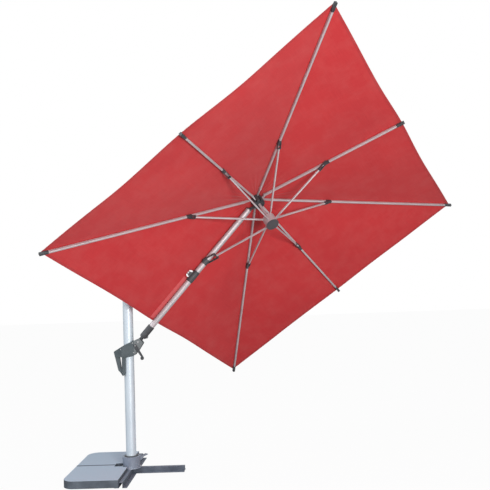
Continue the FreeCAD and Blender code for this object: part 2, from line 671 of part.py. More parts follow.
knob_start = V(knob_at[0], arm_front - SIDE, knob_at[1])
knob_body = Part.makeCone(10.0, 13.0, 22.0, knob_start, Y * -1)
knob_body = knob_body.fuse(Part.makeCone(13.0, 17.5, 14.0, knob_start - Y * 22, Y * -1))
knob_body = knob_body.cut(rod(knob_axle_r + RUN, knob_start + Y, knob_start - Y * 50))
save("crank_knob", knob_body.cut(rod(knob_axle_r + 3.5, V(knob_at[0], arm_front - 99, knob_at[1]),
                                     V(knob_at[0], arm_front - 39 + SIDE, knob_at[1]))))


# ---------------------------------------------------------------- hinge points of the canopy frame
# a rib, or the boom, holds its strut in an isosceles pair: both lengths are the same for all
fold_rise = math.atan2(strut_fall, strut_out - hinge_r)
link_len = math.hypot(strut_fall, strut_out - hinge_r)
corner_slope = math.degrees(math.atan2(canopy_drop, half_span * math.sqrt(2)))


def height_on(slope_deg, radius, start=0.0):
    """Height of a rib's axis, at a distance from the hub's axis."""
    return start - radius * math.tan(math.radians(slope_deg))


joint_z = {
    "mid": height_on(slope, strut_out) + mid_over,
    "corner": height_on(corner_slope, strut_out) - corner_under,
    "boom": height_on(slope, strut_out, -boom_below),
}
kinds = ["boom", "corner", "mid", "corner", "mid", "corner", "mid", "corner"]


def hub_hinge_z(kind):
    return joint_z[kind] + strut_fall


def lower_hinge_z(kind):
    return joint_z[kind] - strut_fall


lower_hub_high = lower_hinge_z("corner") + lower_hub_over
lower_hub_low = lower_hinge_z("boom") - lower_hub_under


def spoke(k):
    """The frame of spoke k: local x runs outwards from the hub's axis."""
    return canopy_frame.multiply(turned(Z, 180.0 + 45.0 * k))


def tent(lift):
    """A four-sided pyramid, as high as the cloth over its ribs."""
    low = V(0, 0, lift - canopy_drop)
    corners = [V(sx * half_span, sy * half_span, low.z) for sx, sy in ((1, 1), (-1, 1), (-1, -1), (1, -1))]
    peak = V(0, 0, lift)
    faces = [Part.Face(Part.makePolygon(corners + corners[:1]))]
    for i in range(4):
        faces.append(Part.Face(Part.makePolygon([corners[i], corners[(i + 1) % 4], peak, corners[i]])))
    return Part.Solid(Part.Shell(faces))


# ---------------------------------------------------------------- hubs
tongue_slot = tongue_t + 2 * SIDE
strut_slot = strut_tongue_t + 2 * SIDE
upper = rod(hub_r, V(0, 0, hub_low), V(0, 0, hub_high))
rim = [e for e in upper.Edges if e.Curve.TypeId == "Part::GeomCircle"]
upper = upper.makeFillet(4.0, rim)
upper = upper.common(tent(cloth_over - SIDE))
upper = upper.fuse(rod(cap_boss_r, V(0, 0, 0), V(0, 0, hub_high)))
upper = upper.cut(rod(centre_r + SEAT, V(0, 0, hub_low - 1), V(0, 0, -20)))
upper_pins = []
lower = rod(lower_hub_r - 3, V(0, 0, lower_hub_low), V(0, 0, lower_hub_high))
lower = lower.cut(rod(centre_r + SIDE, V(0, 0, lower_hub_low - 1), V(0, 0, lower_hub_high + 1)))
lower_pins = []
pin_reach = 11.5
for k, kind in enumerate(kinds):
    way = turned(Z, 180.0 + 45.0 * k)
    top = min(hub_hinge_z(kind) + 11.0, hub_high - 4.0)
    if kind != "corner":
        top = hub_high - 8.0
    slot = box(hinge_r - 13, hub_r + 9, -tongue_slot / 2, tongue_slot / 2, hub_low - 1, top)
    upper = upper.cut(placed(slot, way))
    pin = across((hinge_r, hub_hinge_z(kind)), hub_pin_r, pin_reach)
    hole = across((hinge_r, hub_hinge_z(kind)), hub_pin_r + SEAT, pin_reach + 0.1)
    upper = upper.cut(placed(hole, way))
    upper_pins.append(placed(pin, way))
    low = lower_hinge_z(kind) - 11.0
    slot = box(hinge_r - 12, lower_hub_r + 9, -strut_slot / 2, strut_slot / 2, low, lower_hub_high + 1)
    lower = lower.cut(placed(slot, way))
    pin = across((hinge_r, lower_hinge_z(kind)), hub_pin_r, pin_reach)
    hole = across((hinge_r, lower_hinge_z(kind)), hub_pin_r + SEAT, pin_reach + 0.1)
    lower = lower.cut(placed(hole, way))
    lower_pins.append(placed(pin, way))
save("upper_hub", upper.removeSplitter(), canopy_frame)
save("upper_hub_pins", upper_pins, canopy_frame)
save("lower_hub", lower.removeSplitter(), canopy_frame)
save("lower_hub_pins", lower_pins, canopy_frame)

lower_cap = rod(lower_hub_r, V(0, 0, lower_hub_low - lower_cap_t), V(0, 0, lower_hub_low))
rim = [e for e in lower_cap.Edges
       if e.Curve.TypeId == "Part::GeomCircle" and e.CenterOfMass.z < lower_hub_low - 1]
save("lower_hub_cap", lower_cap.makeFillet(2.5, rim), canopy_frame)

centre = ring(centre_r, centre_r - centre_wall, V(0, 0, lower_hub_high - 34), V(0, 0, -20))
save("centre_tube", centre, canopy_frame)

cap_low = cloth_over + cloth_t + 1.6
cap = Part.makeSphere(150.0, V(0, 0, cap_low - 150.0 + 16.0)).common(
    box(-99, 99, -99, 99, cap_low, cap_low + 30))
cap = cap.fuse(rod(cap_boss_r, V(0, 0, hub_high), V(0, 0, cap_low + 1)))
save("top_cap", cap.removeSplitter(), canopy_frame)


# ---------------------------------------------------------------- boom fittings at the canopy
# these are drawn in the boom's spoke, where the boom runs down and outwards
boom_spoke = FreeCAD.Placement(V(0, 0, -boom_below), FreeCAD.Rotation(Y, slope))
fork_from = (boom_len - boom_end) - boom_lift * math.tan(math.radians(slope))
boom_mouth = boom_spoke.multVec(V(fork_from, 0, 0))
fork_pin = (hinge_r, hub_hinge_z("boom"))
fork = link(fork_pin, 10.0, (boom_mouth.x + 4, boom_mouth.z), 20.0, -tongue_t / 2, tongue_t / 2)
trim = placed(box(fork_from - 6, 999, -99, 99, -99, 99), boom_spoke)
fork = fork.cut(trim)
flange = placed(rod(boom_r + 2, V(fork_from - 8, 0, 0), V(fork_from, 0, 0)), boom_spoke)
plug = placed(rod(boom_bore - SEAT, V(fork_from - 1, 0, 0), V(fork_from + 50, 0, 0)), boom_spoke)
fork = fork.fuse(flange).fuse(plug).removeSplitter()
fork = fork.cut(rod(hub_pin_r + RUN, V(hinge_r, -99, fork_pin[1]), V(hinge_r, 99, fork_pin[1])))
save("boom_hub_fork", fork, spoke(0))

clamp_at = strut_out / math.cos(math.radians(slope))
clamp = rod(boom_r + 3.2, V(clamp_at - clamp_len / 2, 0, 0), V(clamp_at + clamp_len / 2, 0, 0))
clamp = placed(clamp, boom_spoke)
for y0, y1 in ((-boom_r - 9, -boom_r + 2), (boom_r - 2, boom_r + 9)):
    clamp = clamp.fuse(rod(9.0, V(strut_out, y0, joint_z["boom"]), V(strut_out, y1, joint_z["boom"])))
clamp = clamp.cut(placed(rod(boom_r + SEAT, V(clamp_at - 99, 0, 0), V(clamp_at + 99, 0, 0)), boom_spoke))
trunnion = boom_r + 18.0
for side in (-1, 1):
    inner_end = V(strut_out, side * (boom_r + 5), joint_z["boom"])
    clamp = clamp.fuse(rod(4.0, inner_end, V(strut_out, side * trunnion, joint_z["boom"])))
save("boom_strut_clamp", clamp.removeSplitter(), spoke(0))


# ---------------------------------------------------------------- ribs
def rib(kind):
    """A rib in its spoke: knuckle, tube, strut clamp and tip cap."""
    lean = slope if kind == "mid" else corner_slope
    reach = half_span if kind == "mid" else half_span * math.sqrt(2)
    along = FreeCAD.Placement(V(0, 0, 0), FreeCAD.Rotation(Y, lean))
    stretch = 1 / math.cos(math.radians(lean))
    tube_from = (hinge_r + knuckle_reach[kind]) * stretch
    tip = reach * stretch
    strut_hole = rod(hub_pin_r + RUN, V(strut_out, -99, joint_z[kind]), V(strut_out, 99, joint_z[kind]))
    tube = soft_tube(rib_w, rib_h, rib_wall, tube_from, tip - 20, 6.0)
    tube = placed(tube, along).cut(strut_hole)

    hinge = (hinge_r, hub_hinge_z(kind))
    seat = along.multVec(V(tube_from, 0, 0))
    knuckle = link(hinge, 9.0, (seat.x, seat.z), 12.0, -tongue_t / 2, tongue_t / 2)
    knuckle = knuckle.cut(placed(box(tube_from - 3, tube_from + 99, -99, 99, -99, 99), along))
    stop = placed(soft_bar(rib_w + 3, rib_h + 3, tube_from - 8, tube_from, 6.0), along)
    inner = rib_w - 2 * rib_wall - 2 * SEAT
    inner_h = rib_h - 2 * rib_wall - 2 * SEAT
    peg = placed(soft_bar(inner, inner_h, tube_from - 1, tube_from + 40, 6.0 - rib_wall / 2), along)
    knuckle = knuckle.fuse(stop).fuse(peg).removeSplitter()
    knuckle = knuckle.cut(rod(hub_pin_r + RUN, V(hinge[0], -99, hinge[1]), V(hinge[0], 99, hinge[1])))

    over = 2 * SEAT + 2 * clamp_wall
    at = strut_out * stretch
    body = soft_bar(rib_w + over, rib_h + 2 * SEAT + clamp_wall, at - clamp_len / 2, at + clamp_len / 2, 4.0)
    body = placed(body, FreeCAD.Placement(V(0, 0, -clamp_wall / 2), FreeCAD.Rotation()))
    body = body.cut(soft_bar(rib_w + 2 * SEAT, rib_h + 2 * SEAT, at - 99, at + 99, 6.0))
    body = placed(body, along).cut(strut_hole)

    cap_from = tip - 62
    cap_body = soft_bar(rib_w + 5, rib_h + 1.2, cap_from, tip + tip_over, 5.0)
    cap_body = cap_body.cut(soft_bar(rib_w + 2 * SEAT, rib_h + 2 * SEAT, cap_from - 1, tip - 20 + SEAT, 6.0))
    return [tube, knuckle, body, placed(cap_body, along)]


# ---------------------------------------------------------------- struts
def strut(kind):
    """A strut in its spoke: tube, hub tongue, fork plates and hinge pin."""
    start = V(hinge_r, 0, lower_hinge_z(kind))
    end = V(strut_out, 0, joint_z[kind])
    rise = -math.degrees(math.atan2(end.z - start.z, end.x - start.x))
    along = FreeCAD.Placement(start, FreeCAD.Rotation(Y, rise))
    length = (end - start).Length
    fork_len = strut_fork[kind]
    gap = {"boom": boom_r + 9 + SIDE}.get(kind, rib_w / 2 + SEAT + clamp_wall + SIDE)
    tube_from = strut_tongue[kind]
    tube_to = length - fork_len
    tube = placed(soft_tube(strut_w, strut_h, strut_wall, tube_from, tube_to, 5.0), along)
    peg_corner = 5.0 - strut_wall / 2

    tongue = link((0, 0), 8.0, (tube_from - 8, 0), 9.0, -strut_tongue_t / 2, strut_tongue_t / 2)
    shoulder = soft_bar(strut_w + 2, strut_h + 2, tube_from - 7, tube_from, 5.0)
    peg = soft_bar(strut_w - 2 * strut_wall - 2 * SEAT, strut_h - 2 * strut_wall - 2 * SEAT,
                   tube_from - 1, tube_from + 36, peg_corner)
    tongue = tongue.cut(box(tube_from - 3, 999, -99, 99, -99, 99)).fuse(shoulder).fuse(peg).removeSplitter()
    tongue = tongue.cut(rod(hub_pin_r + RUN, V(0, -99, 0), V(0, 99, 0)))

    plate_t = 4.0
    bridge = box(tube_to, tube_to + 10, -gap - plate_t, gap + plate_t, -10, 10)
    pin_r = 4.0 if kind == "boom" else hub_pin_r
    fork_body = bridge
    for side in (-1, 1):
        y0 = min(side * gap, side * (gap + plate_t))
        fork_body = fork_body.fuse(link((tube_to + 10, 0), 10.0, (length, 0), 8.0, y0, y0 + plate_t))
    fork_body = fork_body.cut(box(-999, tube_to, -99, 99, -99, 99))
    peg = soft_bar(strut_w - 2 * strut_wall - 2 * SEAT, strut_h - 2 * strut_wall - 2 * SEAT,
                   tube_to - 30, tube_to + 1, peg_corner)
    play = RUN if kind == "boom" else SEAT
    fork_body = fork_body.fuse(peg).removeSplitter()
    fork_body = fork_body.cut(rod(pin_r + play, V(length, -99, 0), V(length, 99, 0)))
    pieces = [tube, placed(tongue, along), placed(fork_body, along)]
    if kind != "boom":
        half = gap + plate_t + 2.0
        pieces.append(placed(rod(hub_pin_r, V(length, -half, 0), V(length, half, 0)), along))
    return pieces


for k, kind in enumerate(kinds):
    if kind != "boom":
        save("rib_%d" % k, rib(kind), spoke(k))
    save("strut_%d" % k, strut(kind), spoke(k))


# ---------------------------------------------------------------- canopy cloth
cloth = tent(cloth_over + cloth_t).cut(tent(cloth_over))
cloth = cloth.cut(box(-half_span - 9, -slit_inner, -slit_half, slit_half, -999, 99))
cloth = cloth.cut(rod(cap_boss_r + 2, V(0, 0, -99), V(0, 0, 99)))
save("canopy", cloth, canopy_frame)
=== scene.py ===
# %% [markdown]
# # A cantilever patio umbrella
# The umbrella hangs its square canopy from a boom that tilts and rolls beside a mast. Its tubes,
# hinges and castings come ready made in the frame, at their real size. This lesson adds what a
# workshop would add last: the paint, the moulded grain, and the sewn cloth. Everything below is
# placed from the frame's own joints and boxes, so that nothing has to be fitted by eye.

# %% Load the frame
import json
import math
import bmesh
import bpy
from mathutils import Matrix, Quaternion, Vector, noise


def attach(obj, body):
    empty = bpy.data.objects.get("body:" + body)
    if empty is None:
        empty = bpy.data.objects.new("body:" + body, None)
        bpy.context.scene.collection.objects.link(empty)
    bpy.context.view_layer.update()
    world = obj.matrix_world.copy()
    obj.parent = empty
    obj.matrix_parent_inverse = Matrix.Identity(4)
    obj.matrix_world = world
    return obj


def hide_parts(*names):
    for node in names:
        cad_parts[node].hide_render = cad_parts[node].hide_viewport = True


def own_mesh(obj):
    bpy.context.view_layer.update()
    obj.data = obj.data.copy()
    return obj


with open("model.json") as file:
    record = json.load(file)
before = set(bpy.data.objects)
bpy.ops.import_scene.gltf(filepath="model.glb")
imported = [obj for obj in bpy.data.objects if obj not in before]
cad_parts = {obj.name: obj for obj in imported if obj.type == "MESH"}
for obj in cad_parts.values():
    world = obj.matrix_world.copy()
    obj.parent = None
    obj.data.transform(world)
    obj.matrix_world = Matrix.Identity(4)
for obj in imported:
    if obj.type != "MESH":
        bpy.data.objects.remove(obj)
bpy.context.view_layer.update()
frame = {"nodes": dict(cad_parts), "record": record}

nodes = frame["nodes"]
joints = {j["name"]: j for j in frame["record"]["behaviour"]["joints"]}

# %% [markdown]
# ## The canopy's own axes
# A tilted canopy is easiest to sew flat and then carry to its place. Its three axes can be read
# from the hinges: the fold's axis runs across, the hinge of rib 4 lies straight out from the hub,
# and the third axis is square to both. Every cloth point is written as (out, across, up).

# %% Axes of the canopy


def place(name):
    return Vector(joints[name]["pos_m"])


HALF_SPAN = 1.5           # half the side of the square
DROP = 0.42               # how far the rib tips lie under the hub's plane
MID_HINGE_BELOW = 0.047   # hinge of a middle rib, below the hub's plane
CLOTH_OVER = 0.0182       # rib axis to the cloth

hub_middle = (place("rib_fold_2") + place("rib_fold_6")) / 2
out_axis = (place("rib_fold_4") - hub_middle).normalized()
across_axis = Vector(joints["canopy_fold"]["axis"]).normalized()
up_axis = out_axis.cross(across_axis).normalized()
hub_plane = hub_middle + up_axis * MID_HINGE_BELOW


def spot(out, across, up):
    """A point given in the canopy's axes, in the frame."""
    return hub_plane + out_axis * out + across_axis * across + up_axis * up


def azimuth(k):
    """Direction of spoke k round the hub; spoke 0 is the boom."""
    return math.pi + k * math.pi / 4


print("hub at", [round(x, 3) for x in hub_plane], "faces", [round(x, 2) for x in up_axis])

# %% [markdown]
# ## Small tools
# A finished piece is an object at the origin whose place is in its mesh. `keep_mesh` turns a
# bmesh into such an object and lets it ride on a body of the frame.

# %% Helpers for meshes


def keep_mesh(bm, name, body, material, smooth=True):
    """Turn a bmesh into a piece that rides on a body."""
    mesh = bpy.data.meshes.new(name)
    bm.to_mesh(mesh)
    bm.free()
    for face in mesh.polygons:
        face.use_smooth = smooth
    piece = bpy.data.objects.new(name, mesh)
    bpy.context.scene.collection.objects.link(piece)
    piece.data.materials.append(material)
    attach(piece, body)
    return piece


def paint(node, material):
    """Give every face of a frame node one finish."""
    slots = nodes[node].data.materials
    slots.clear()
    slots.append(material)

# %% [markdown]
# ## Shader tools
# Most finishes share a few effects: a fine moulded or sprayed grain, slow stains of dirt with
# painted light from above on upward faces, and the weave of the cloth. Each effect is a node group
# with named sockets, built once and placed in each material with its own values.

# %% Helpers for shader nodes


def start_group(name, inputs, outputs):
    """An empty shader group with float or colour sockets."""
    group = bpy.data.node_groups.new(name, "ShaderNodeTree")
    for label, value in inputs:
        kind = "NodeSocketColor" if isinstance(value, tuple) else "NodeSocketFloat"
        group.interface.new_socket(label, in_out="INPUT", socket_type=kind).default_value = value
    for label, kind in outputs:
        group.interface.new_socket(label, in_out="OUTPUT", socket_type=kind)
    return group, group.nodes.new("NodeGroupInput"), group.nodes.new("NodeGroupOutput")


def add(tree, kind, **values):
    """A node with attributes, or input sockets where the name is one of them."""
    node = tree.nodes.new(kind)
    for key, value in values.items():
        if key in node.inputs:
            node.inputs[key].default_value = value
        else:
            setattr(node, key, value)
    return node


def math_node(tree, operation, first, second=None, clamp=False):
    node = add(tree, "ShaderNodeMath", operation=operation, use_clamp=clamp)
    for socket, value in zip(node.inputs, (first, second)):
        if isinstance(value, (int, float)):
            socket.default_value = value
        elif value is not None:
            tree.links.new(value, socket)
    return node.outputs[0]


def spread(tree, value, low, high, to_low=0.0, to_high=1.0):
    """Map a value's range onto another, without leaving it."""
    node = add(tree, "ShaderNodeMapRange", clamp=True)
    tree.links.new(value, node.inputs["Value"])
    for label, number in zip(("From Min", "From Max", "To Min", "To Max"), (low, high, to_low, to_high)):
        node.inputs[label].default_value = number
    return node.outputs["Result"]


def mix_colour(tree, factor, first, second, blend="MIX"):
    node = add(tree, "ShaderNodeMix", data_type="RGBA", blend_type=blend)
    sockets = [s for s in node.inputs if s.type in ("VALUE", "RGBA") and s.enabled]
    for socket, value in zip(sockets, (factor, first, second)):
        if hasattr(value, "default_value") or hasattr(value, "is_linked"):
            tree.links.new(value, socket)
        else:
            socket.default_value = value
    return [s for s in node.outputs if s.enabled][0]

# %% Group: fine grain


def make_grain():
    """Fine bumps of moulded plastic or sprayed powder, in the piece's own place."""
    group, start, end = start_group(
        "fine_grain", [("Size", 900.0), ("Patches", 12.0)],
        [("Height", "NodeSocketFloat"), ("Tone", "NodeSocketFloat")])
    coord = add(group, "ShaderNodeTexCoord")
    small = add(group, "ShaderNodeTexNoise", Detail=3.0, Roughness=0.6)
    large = add(group, "ShaderNodeTexNoise", Detail=4.0, Roughness=0.55)
    link = group.links.new
    link(coord.outputs["Object"], small.inputs["Vector"])
    link(coord.outputs["Object"], large.inputs["Vector"])
    link(start.outputs["Size"], small.inputs["Scale"])
    link(start.outputs["Patches"], large.inputs["Scale"])
    link(small.outputs["Fac"], end.inputs["Height"])
    link(spread(group, large.outputs["Fac"], 0.3, 0.7), end.inputs["Tone"])
    return group


GRAIN = make_grain()

# %% Group: weathering, with painted light on upward faces


def make_weather_and_top_light():
    """Dust that gathers in soft patches, short rubbed marks, and painted light from above that lightens
    upward faces towards the dust's colour, together with the dust that settles there.
    """
    group, start, end = start_group(
        "weather_and_top_light", [("Dust", 0.3), ("Rub", 0.2), ("Top light and dust", 0.0)],
        [("Dust", "NodeSocketFloat"), ("Rub", "NodeSocketFloat")])
    coord = add(group, "ShaderNodeTexCoord")
    cloud = add(group, "ShaderNodeTexNoise", Scale=6.0, Detail=8.0, Roughness=0.62)
    marks = add(group, "ShaderNodeTexNoise", Scale=34.0, Detail=5.0, Roughness=0.7, Distortion=1.4)
    link = group.links.new
    link(coord.outputs["Object"], cloud.inputs["Vector"])
    link(coord.outputs["Object"], marks.inputs["Vector"])
    patch = spread(group, cloud.outputs["Fac"], 0.42, 0.72)
    rubbed = spread(group, marks.outputs["Fac"], 0.6, 0.74)
    normal = add(group, "ShaderNodeNewGeometry")
    split = add(group, "ShaderNodeSeparateXYZ")
    link(normal.outputs["Normal"], split.inputs["Vector"])
    # Painted light from above, together with settled dust: upward faces take the dust colour by this share.
    upward = spread(group, split.outputs["Z"], 0.35, 0.9)
    top_light_and_dust = math_node(group, "MULTIPLY", upward, start.outputs["Top light and dust"])
    patchy = math_node(group, "MULTIPLY", patch, start.outputs["Dust"])
    # The Dust output carries the patchy dust and the painted top light together.
    link(math_node(group, "MAXIMUM", top_light_and_dust, patchy), end.inputs["Dust"])
    link(math_node(group, "MULTIPLY", rubbed, start.outputs["Rub"]), end.inputs["Rub"])
    return group


WEATHER_AND_TOP_LIGHT = make_weather_and_top_light()

# %% Group: weave


def make_weave():
    """Plain weave in the cloth's own map, which is in metres, with thicker yarns now and then."""
    group, start, end = start_group(
        "plain_weave", [("Threads", 950.0)],
        [("Height", "NodeSocketFloat"), ("Yarn", "NodeSocketFloat")])
    link = group.links.new
    uv = add(group, "ShaderNodeUVMap", uv_map="cut")
    split = add(group, "ShaderNodeSeparateXYZ")
    link(uv.outputs["UV"], split.inputs["Vector"])
    waves = []
    for axis in "XY":
        turns = math_node(group, "MULTIPLY", split.outputs[axis], start.outputs["Threads"])
        waves.append(math_node(group, "SINE", turns))
    crossed = math_node(group, "MULTIPLY", waves[0], waves[1])
    slubs = []
    for axis, stretch in (("X", (260.0, 5.0, 1.0)), ("Y", (5.0, 260.0, 1.0))):
        mapping = add(group, "ShaderNodeMapping")
        mapping.inputs["Scale"].default_value = stretch
        link(uv.outputs["UV"], mapping.inputs["Vector"])
        yarn = add(group, "ShaderNodeTexNoise", Scale=1.0, Detail=2.0)
        link(mapping.outputs["Vector"], yarn.inputs["Vector"])
        slubs.append(yarn.outputs["Fac"])
    both = math_node(group, "MULTIPLY", math_node(group, "ADD", slubs[0], slubs[1]), 0.5)
    link(both, end.inputs["Yarn"])
    link(math_node(group, "ADD", math_node(group, "MULTIPLY", crossed, 0.5), both), end.inputs["Height"])
    return group


WEAVE = make_weave()
print("groups", [g.name for g in bpy.data.node_groups])

# %% [markdown]
# ## Hard finishes
# Painted tube, moulded plastic and plated steel differ in colour, gloss and how coarse their grain
# is. One function builds them all from those few values: a base colour that drifts a little, dust
# that greys and roughens it, painted light from above that lightens upward faces towards the dust's
# colour, and a grain that feeds the bump.

# %% Function for hard finishes


def hard_finish(name, colour, other, roughness, metallic=0.0, grain=900.0, bump=0.15, dust=0.2, rub=0.1,
                patches=12.0, dust_and_top_light_colour=(0.42, 0.41, 0.39, 1), rub_colour=None, top_light_and_dust=0.0, specular=0.5):
    """A painted, moulded or plated surface with its drift of tone, its dust, painted light from above on its
    upward faces, and its rubbed marks.
    """
    material = bpy.data.materials.new(name)
    material.use_nodes = True
    tree = material.node_tree
    shader = tree.nodes["Principled BSDF"]
    fine = add(tree, "ShaderNodeGroup", node_tree=GRAIN)
    fine.inputs["Size"].default_value = grain
    fine.inputs["Patches"].default_value = patches
    weathering_and_top_light = add(tree, "ShaderNodeGroup", node_tree=WEATHER_AND_TOP_LIGHT)
    weathering_and_top_light.inputs["Dust"].default_value = dust
    weathering_and_top_light.inputs["Rub"].default_value = rub
    weathering_and_top_light.inputs["Top light and dust"].default_value = top_light_and_dust
    base = mix_colour(tree, fine.outputs["Tone"], colour + (1,), other + (1,))
    bared = rub_colour or tuple(min(1, c * 1.7) for c in colour) + (1,)
    rubbed = mix_colour(tree, weathering_and_top_light.outputs["Rub"], base, bared)
    # The dust colour also paints light from above on upward faces, mixed with the dust there.
    dusty_and_top_lit = mix_colour(tree, weathering_and_top_light.outputs["Dust"], rubbed, dust_and_top_light_colour)
    tree.links.new(dusty_and_top_lit, shader.inputs["Base Color"])
    rough = math_node(tree, "MULTIPLY_ADD", fine.outputs["Tone"], 0.08)
    rough.node.inputs[2].default_value = roughness - 0.04
    dulled = math_node(tree, "MULTIPLY", weathering_and_top_light.outputs["Dust"], 0.35)
    rough = math_node(tree, "ADD", rough, dulled, clamp=True)
    tree.links.new(rough, shader.inputs["Roughness"])
    bumps = add(tree, "ShaderNodeBump", Strength=bump, Distance=0.0004)
    tree.links.new(fine.outputs["Height"], bumps.inputs["Height"])
    tree.links.new(bumps.outputs["Normal"], shader.inputs["Normal"])
    shader.inputs["Metallic"].default_value = metallic
    shader.inputs["Specular IOR Level"].default_value = specular
    return material

# %% The hard finishes

silver_mast = hard_finish(
    "silver_mast", (0.56, 0.645, 0.72), (0.62, 0.70, 0.765), 0.46,
    metallic=0.2, grain=1500, bump=0.05, dust=0.05, rub=0.02, patches=3.0,
    dust_and_top_light_colour=(0.52, 0.56, 0.60, 1))
# The tubes' silver has a pink tint: silver paint with a painted reflection of the red canopy.
silver_tube_painted_pink_reflection = hard_finish(
    "silver_tube_painted_pink_reflection", (0.50, 0.465, 0.49), (0.57, 0.53, 0.555), 0.50,
    metallic=0.35, grain=1500, bump=0.06, dust=0.06, rub=0.03, patches=5.0,
    dust_and_top_light_colour=(0.45, 0.41, 0.42, 1))
charcoal = hard_finish(
    "charcoal_plastic", (0.036, 0.040, 0.046), (0.054, 0.058, 0.065), 0.52,
    grain=1100, bump=0.35, dust=0.16, rub=0.10, dust_and_top_light_colour=(0.22, 0.23, 0.24, 1))
slate = hard_finish(
    "slate_housing", (0.056, 0.074, 0.083), (0.078, 0.098, 0.108), 0.46,
    grain=1000, bump=0.35, dust=0.10, rub=0.12, dust_and_top_light_colour=(0.24, 0.27, 0.29, 1))
disc_grey = hard_finish(
    "disc_grey", (0.060, 0.058, 0.066), (0.076, 0.074, 0.082), 0.50,
    grain=1100, bump=0.25, dust=0.12, rub=0.06, dust_and_top_light_colour=(0.2, 0.2, 0.21, 1))
# The base's and the socket's pale bluish dust colours, laid on upward faces, are painted light from above on
# their tops, together with dust.
steel_base = hard_finish(
    "steel_base", (0.062, 0.076, 0.104), (0.084, 0.100, 0.130), 0.45,
    metallic=0.1, grain=1300, bump=0.25, dust=0.22, rub=0.12, dust_and_top_light_colour=(0.19, 0.23, 0.29, 1),
    top_light_and_dust=0.85)
socket_coat = hard_finish(
    "socket_coat", (0.215, 0.250, 0.320), (0.262, 0.300, 0.372), 0.40,
    metallic=0.15, grain=1200, bump=0.3, dust=0.22, rub=0.12, dust_and_top_light_colour=(0.34, 0.39, 0.46, 1),
    top_light_and_dust=0.6)
zinc = hard_finish(
    "zinc_plated", (0.60, 0.61, 0.63), (0.72, 0.73, 0.74), 0.30, metallic=0.9,
    grain=1600, bump=0.1, dust=0.12, rub=0.1, dust_and_top_light_colour=(0.4, 0.4, 0.4, 1))
turned_steel = hard_finish(
    "turned_steel", (0.50, 0.51, 0.52), (0.60, 0.60, 0.61), 0.32,
    metallic=0.95, grain=1600, bump=0.12, dust=0.1, rub=0.1, dust_and_top_light_colour=(0.35, 0.35, 0.35, 1))
chrome = hard_finish(
    "chromed_knob", (0.26, 0.27, 0.29), (0.33, 0.34, 0.36), 0.26, metallic=1.0,
    grain=1500, bump=0.02, dust=0.05, rub=0.03)
nylon = hard_finish(
    "pale_nylon", (0.62, 0.61, 0.58), (0.70, 0.69, 0.66), 0.45, grain=900,
    bump=0.1, dust=0.1)
black_track = hard_finish(
    "black_track", (0.020, 0.022, 0.025), (0.032, 0.034, 0.038), 0.55,
    grain=1200, bump=0.2, dust=0.2, rub=0.15, dust_and_top_light_colour=(0.12, 0.12, 0.12, 1))
concrete = hard_finish(
    "concrete", (0.36, 0.35, 0.33), (0.45, 0.44, 0.42), 0.9, grain=500,
    bump=0.8, dust=0.3)

# %% [markdown]
# The two slabs lie side by side with a joint between them, along the arm that they cover. Dirt
# sits in that joint and shade falls into it, so the slabs' finish has one thing more than the rest:
# a dark line where a face is near the joint, which is painted shade and dirt together.

# %% The slabs' finish

# The slabs' pale blue-grey dust colour, laid almost fully on upward faces, is painted light from above on
# their tops, together with dust.
slab_moulding = hard_finish(
    "slab_moulding", (0.052, 0.064, 0.082), (0.074, 0.090, 0.112), 0.62,
    grain=700, bump=0.5, dust=0.12, rub=0.08, patches=7.0, dust_and_top_light_colour=(0.50, 0.60, 0.71, 1),
    rub_colour=(0.20, 0.23, 0.27, 1), top_light_and_dust=0.96)


JOINT_HALF = 0.0075
# Colour of the painted shade and dirt in the joint.
JOINT_SHADE_AND_DIRT = (0.045, 0.055, 0.075, 1)


def paint_joint_shade_and_dirt(material, half_width):
    """Painted shade and dirt: dark within half_width of the joint's plane, y = 0, and gone at 2.2 times
    that.
    """
    tree = material.node_tree
    shader = tree.nodes["Principled BSDF"]
    coord = add(tree, "ShaderNodeTexCoord")
    split = add(tree, "ShaderNodeSeparateXYZ")
    tree.links.new(coord.outputs["Object"], split.inputs["Vector"])
    away = math_node(tree, "ABSOLUTE", split.outputs["Y"])
    joint_shade_and_dirt = spread(tree, away, half_width, half_width * 2.2, 1.0, 0.0)
    past = shader.inputs["Base Color"].links[0].from_socket
    darker = mix_colour(tree, joint_shade_and_dirt, past, JOINT_SHADE_AND_DIRT)
    tree.links.new(darker, shader.inputs["Base Color"])


paint_joint_shade_and_dirt(slab_moulding, JOINT_HALF)
print("hard finishes", len(bpy.data.materials))

# %% [markdown]
# ## Which node wears which finish
# A table from finish to nodes is the quickest thing to check and to change.

# %% Paint the single-finish nodes

FINISHES = {
    silver_mast: ["mast_tube"],
    silver_tube_painted_pink_reflection: ["boom_tube", "support_arm_tube", "centre_tube", "lower_hub"],
    charcoal: ["mast_foot_bush", "mast_top_cap", "mast_head", "support_arm_ends", "boom_bracket",
               "boom_collars", "swivel_sleeve", "boom_hub_fork", "boom_strut_clamp", "upper_hub",
               "top_cap", "swivel_neck",
               "crank_arm", "crank_knob", "latch_trigger"],
    slate: ["housing_shell_front", "housing_shell_back"],
    disc_grey: ["lower_hub_cap"],
    steel_base: ["cross_bar_long", "cross_bar_front", "cross_bar_back"],
    socket_coat: ["mast_socket", "foot_pedal"],
    slab_moulding: ["slab_front", "slab_back"],
    zinc: ["cross_bolts", "housing_screws"],
    turned_steel: ["pedal_pin", "support_arm_pins", "housing_pivot_pin", "crank_shaft",
                   "upper_hub_pins", "lower_hub_pins"],
    chrome: ["lock_knob"],
    nylon: ["swivel_bush", "housing_glides"],
    black_track: ["latch_strip"],
    concrete: ["slab_fill_front", "slab_fill_back"],
}
for finish_used, names in FINISHES.items():
    for node_name in names:
        paint(node_name, finish_used)
print("painted", sum(len(n) for n in FINISHES.values()))

